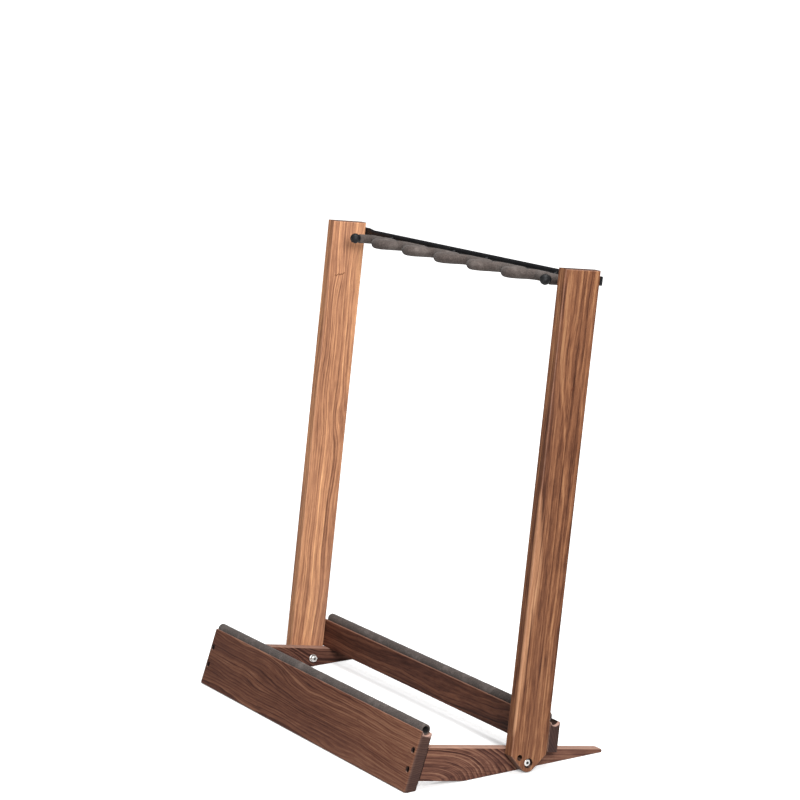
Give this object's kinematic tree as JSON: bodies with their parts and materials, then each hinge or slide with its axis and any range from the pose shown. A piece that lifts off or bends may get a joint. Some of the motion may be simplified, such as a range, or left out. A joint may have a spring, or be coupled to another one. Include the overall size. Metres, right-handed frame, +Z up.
{
  "type": "guitar rack",
  "caption": "Folding wooden floor rack that stands several guitars side by side: padded base boards below, foam-covered neck yoke between two leaning posts.",
  "frame": {"origin": "on the floor, at the middle of the footprint box, rack opened", "axes": "+X along the front board to the right, +Y to the rear, +Z up"},
  "size_m": [0.6748, 0.3456, 0.737],
  "materials": {
    "walnut_boards": "satin oil",
    "walnut_feet": "satin oil",
    "walnut_posts": "satin oil",
    "foam": "matte closed-cell foam",
    "black_rubber": "satin",
    "black_steel": "satin powder coat",
    "black_screws": "black oxide",
    "bright_steel": "zinc plated",
    "nylon": "matte"
  },
  "bodies": {
    "base": {"front_board": "walnut_boards", "rear_board": "walnut_boards", "left_foot": "walnut_feet", "right_foot": "walnut_feet", "front_rest_pad": "foam", "rear_rest_pad": "foam", "front_board_screws": "black_screws", "rear_board_screws": "black_screws", "left_pivot_bolt": "bright_steel", "right_pivot_bolt": "bright_steel", "pivot_spacer_washers": "nylon", "pivot_steel_washers": "bright_steel", "pivot_lock_nuts": "bright_steel"},
    "upright": {"left_post": "walnut_posts", "right_post": "walnut_posts", "neck_crossbar": "black_steel", "crossbar_screws": "black_screws", "neck_yoke_rod": "black_steel", "yoke_studs": "black_steel", "finger_sleeve_1": "foam", "finger_sleeve_2": "foam", "finger_sleeve_3": "foam", "finger_sleeve_4": "foam", "finger_sleeve_5": "foam", "left_end_sleeve": "foam", "right_end_sleeve": "foam", "left_ball_cap": "black_rubber", "right_ball_cap": "black_rubber"}
  },
  "joints": [
    {"name": "fold", "type": "hinge", "parent": "base", "child": "upright", "pos_m": [0, 0.02643, 0.01503], "axis": [1, 0, 0], "range_deg": [0, 86.5]}
  ]
}
